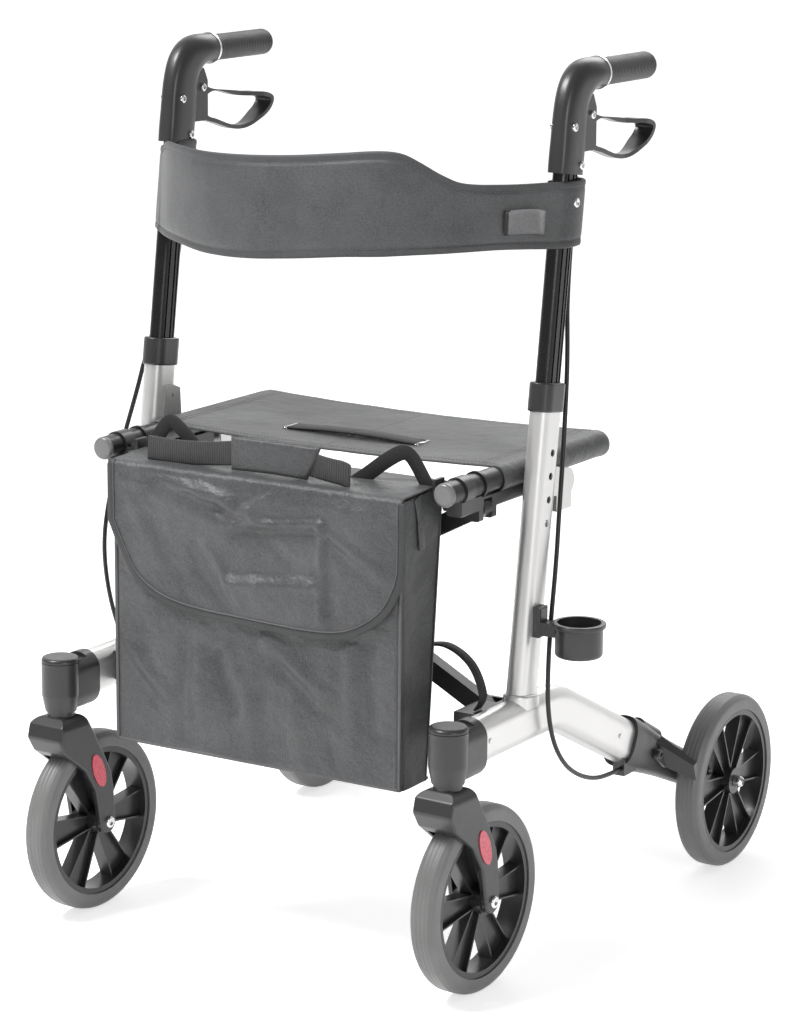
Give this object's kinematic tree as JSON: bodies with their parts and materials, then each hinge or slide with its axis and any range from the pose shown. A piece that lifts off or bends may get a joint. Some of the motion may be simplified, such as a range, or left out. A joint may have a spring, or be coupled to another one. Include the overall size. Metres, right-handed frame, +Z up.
{
  "type": "rollator",
  "caption": "Folding wheeled walker with silver oval side frames, cloth seat, front bag, curved backrest band, loop brake levers and a cane cup.",
  "frame": {"origin": "on the floor midway between the sides, under the front wheels' axles with the wheels pointing ahead", "axes": "+Z up, +Y rearward to the user, +X to the side with the cane cup"},
  "size_m": [0.6386, 0.7143, 0.9476],
  "materials": {
    "frame_silver": "satin painted silver",
    "dark_plastic": "fine grain",
    "post_black": "black anodised",
    "grip_rubber": "soft matt",
    "tyre_grey": "smooth solid tyre",
    "rim_black": "matt",
    "bright_steel": "polished",
    "reflector_red": "glossy",
    "cloth_charcoal": "woven nylon",
    "webbing_black": "woven strap",
    "brace_black": "satin black",
    "rail_black": "satin black",
    "cable_black": "smooth",
    "plate_silver": "satin"
  },
  "bodies": {
    "frame_left": {"base_tube_left": "frame_silver", "upright_left": "frame_silver", "collar_left": "dark_plastic", "caster_housing_left": "dark_plastic", "rear_housing_left": "dark_plastic", "rear_axle_left": "bright_steel", "rail_saddle_left": "plate_silver", "brace_bracket_left": "dark_plastic", "brake_cable_left": "cable_black", "cane_cup": "dark_plastic", "webbing_loop": "webbing_black"},
    "post_left": {"handle_post_left": "post_black", "handle_body_left": "dark_plastic", "grip_left": "grip_rubber", "handle_screws_left": "bright_steel", "backrest": "cloth_charcoal"},
    "lever_left": {"brake_lever_left": "dark_plastic"},
    "button_left": {"height_button_left": "bright_steel"},
    "caster_left": {"caster_fork_left": "dark_plastic", "fork_reflectors_left": "reflector_red", "front_axle_left": "bright_steel"},
    "front_wheel_left": {"front_tyre_left": "tyre_grey", "front_rim_left": "rim_black"},
    "rear_wheel_left": {"rear_tyre_left": "tyre_grey", "rear_rim_left": "rim_black"},
    "brake_left": {"brake_arm_left": "dark_plastic"},
    "rail_left": {"seat_rail_left": "rail_black", "rail_yoke_left": "dark_plastic", "bag": "cloth_charcoal"},
    "seat_left": {"seat_half_left": "cloth_charcoal"},
    "frame_right": {"base_tube_right": "frame_silver", "upright_right": "frame_silver", "collar_right": "dark_plastic", "caster_housing_right": "dark_plastic", "rear_housing_right": "dark_plastic", "rear_axle_right": "bright_steel", "rail_saddle_right": "plate_silver", "brace_bracket_right": "dark_plastic", "brake_cable_right": "cable_black"},
    "post_right": {"handle_post_right": "post_black", "handle_body_right": "dark_plastic", "grip_right": "grip_rubber", "handle_screws_right": "bright_steel"},
    "lever_right": {"brake_lever_right": "dark_plastic"},
    "button_right": {"height_button_right": "bright_steel"},
    "caster_right": {"caster_fork_right": "dark_plastic", "fork_reflectors_right": "reflector_red", "front_axle_right": "bright_steel"},
    "front_wheel_right": {"front_tyre_right": "tyre_grey", "front_rim_right": "rim_black"},
    "rear_wheel_right": {"rear_tyre_right": "tyre_grey", "rear_rim_right": "rim_black"},
    "brake_right": {"brake_arm_right": "dark_plastic"},
    "rail_right": {"seat_rail_right": "rail_black", "rail_yoke_right": "dark_plastic"},
    "seat_right": {"seat_half_right": "cloth_charcoal"},
    "brace_a": {"brace_bar_rear": "brace_black", "brace_bolt": "bright_steel"},
    "brace_b": {"brace_bar_front": "brace_black"},
    "flap": {"bag_flap": "cloth_charcoal"}
  },
  "joints": [
    {"name": "fold", "type": "hinge", "parent": "frame_left", "child": "brace_a", "pos_m": [0.2134, 0.09, 0.272], "axis": [0, 1, 0], "range_deg": [0, 55], "deforming": ["seat_half_left", "seat_half_right", "bag", "bag_flap", "backrest"]},
    {"name": "brace_cross", "type": "hinge", "parent": "brace_a", "child": "brace_b", "pos_m": [0, 0.076, 0.3845], "axis": [0, 1, 0], "range_deg": [-110, 0]},
    {"name": "right_lower", "type": "hinge", "parent": "brace_b", "child": "frame_right", "pos_m": [-0.2134, 0.062, 0.272], "axis": [0, 1, 0], "range_deg": [0, 55]},
    {"name": "left_rail", "type": "hinge", "parent": "brace_b", "child": "rail_left", "pos_m": [0.2134, 0.062, 0.497], "axis": [0, 1, 0], "range_deg": [0, 55]},
    {"name": "right_rail", "type": "hinge", "parent": "brace_a", "child": "rail_right", "pos_m": [-0.2134, 0.09, 0.497], "axis": [0, 1, 0], "range_deg": [-55, 0]},
    {"name": "seat_fold_left", "type": "hinge", "parent": "rail_left", "child": "seat_left", "pos_m": [0.2134, 0.2, 0.5221], "axis": [0, 1, 0], "range_deg": [0, 78.32]},
    {"name": "seat_fold_right", "type": "hinge", "parent": "rail_right", "child": "seat_right", "pos_m": [-0.2134, 0.2, 0.5221], "axis": [0, 1, 0], "range_deg": [-78.32, 0]},
    {"name": "flap_lift", "type": "hinge", "parent": "rail_left", "child": "flap", "pos_m": [0, 0.05, 0.5215], "axis": [-1, 0, 0], "range_deg": [0, 110]},
    {"name": "height_left", "type": "slide", "parent": "frame_left", "child": "post_left", "axis": [0, 0.1374, 0.9905], "range_m": [-0.125, 0.025], "deforming": ["brake_cable_left"]},
    {"name": "brake_squeeze_left", "type": "hinge", "parent": "post_left", "child": "lever_left", "pos_m": [0.245, 0.21134, 0.889], "axis": [1, 0, 0], "range_deg": [0, 12], "stiffness_Nm_per_rad": 1.5, "springref_deg": -5.73},
    {"name": "button_press_left", "type": "slide", "parent": "post_left", "child": "button_left", "axis": [-1, 0, 0], "range_m": [0, 0.004], "stiffness_N_per_m": 400},
    {"name": "caster_swivel_left", "type": "hinge", "parent": "frame_left", "child": "caster_left", "pos_m": [0.245, -0.05, 0.25], "axis": [0, 0, 1], "continuous": true},
    {"name": "front_spin_left", "type": "hinge", "parent": "caster_left", "child": "front_wheel_left", "pos_m": [0.24762, -0.00007, 0.1], "axis": [0.9986, -0.0523, 0], "continuous": true},
    {"name": "rear_spin_left", "type": "hinge", "parent": "frame_left", "child": "rear_wheel_left", "pos_m": [0.278, 0.514, 0.1], "axis": [1, 0, 0], "continuous": true},
    {"name": "brake_press_left", "type": "hinge", "parent": "frame_left", "child": "brake_left", "pos_m": [0.262, 0.392, 0.15], "axis": [1, 0, 0], "range_deg": [0, 5.5]},
    {"name": "height_right", "type": "slide", "parent": "frame_right", "child": "post_right", "axis": [0, 0.1374, 0.9905], "range_m": [-0.125, 0.025], "deforming": ["brake_cable_right"]},
    {"name": "brake_squeeze_right", "type": "hinge", "parent": "post_right", "child": "lever_right", "pos_m": [-0.245, 0.21134, 0.889], "axis": [1, 0, 0], "range_deg": [0, 12], "stiffness_Nm_per_rad": 1.5, "springref_deg": -5.73},
    {"name": "button_press_right", "type": "slide", "parent": "post_right", "child": "button_right", "axis": [1, 0, 0], "range_m": [0, 0.004], "stiffness_N_per_m": 400},
    {"name": "caster_swivel_right", "type": "hinge", "parent": "frame_right", "child": "caster_right", "pos_m": [-0.245, -0.05, 0.25], "axis": [0, 0, 1], "continuous": true},
    {"name": "front_spin_right", "type": "hinge", "parent": "caster_right", "child": "front_wheel_right", "pos_m": [-0.24238, -0.00007, 0.1], "axis": [0.9986, -0.0523, 0], "continuous": true},
    {"name": "rear_spin_right", "type": "hinge", "parent": "frame_right", "child": "rear_wheel_right", "pos_m": [-0.278, 0.514, 0.1], "axis": [1, 0, 0], "continuous": true},
    {"name": "brake_press_right", "type": "hinge", "parent": "frame_right", "child": "brake_right", "pos_m": [-0.262, 0.392, 0.15], "axis": [1, 0, 0], "range_deg": [0, 5.5]}
  ],
  "couplings": [
    {"joint": "brace_cross", "follows": "fold", "ratio": -2},
    {"joint": "right_lower", "follows": "fold", "ratio": 1},
    {"joint": "left_rail", "follows": "fold", "ratio": 1},
    {"joint": "right_rail", "follows": "fold", "ratio": -1},
    {"joint": "seat_fold_left", "follows": "fold", "ratio": 1.424},
    {"joint": "seat_fold_right", "follows": "fold", "ratio": -1.424},
    {"joint": "brake_press_left", "follows": "brake_squeeze_left", "ratio": 0.45},
    {"joint": "brake_press_right", "follows": "brake_squeeze_right", "ratio": 0.45},
    {"joint": "height_right", "follows": "height_left", "ratio": 1}
  ]
}
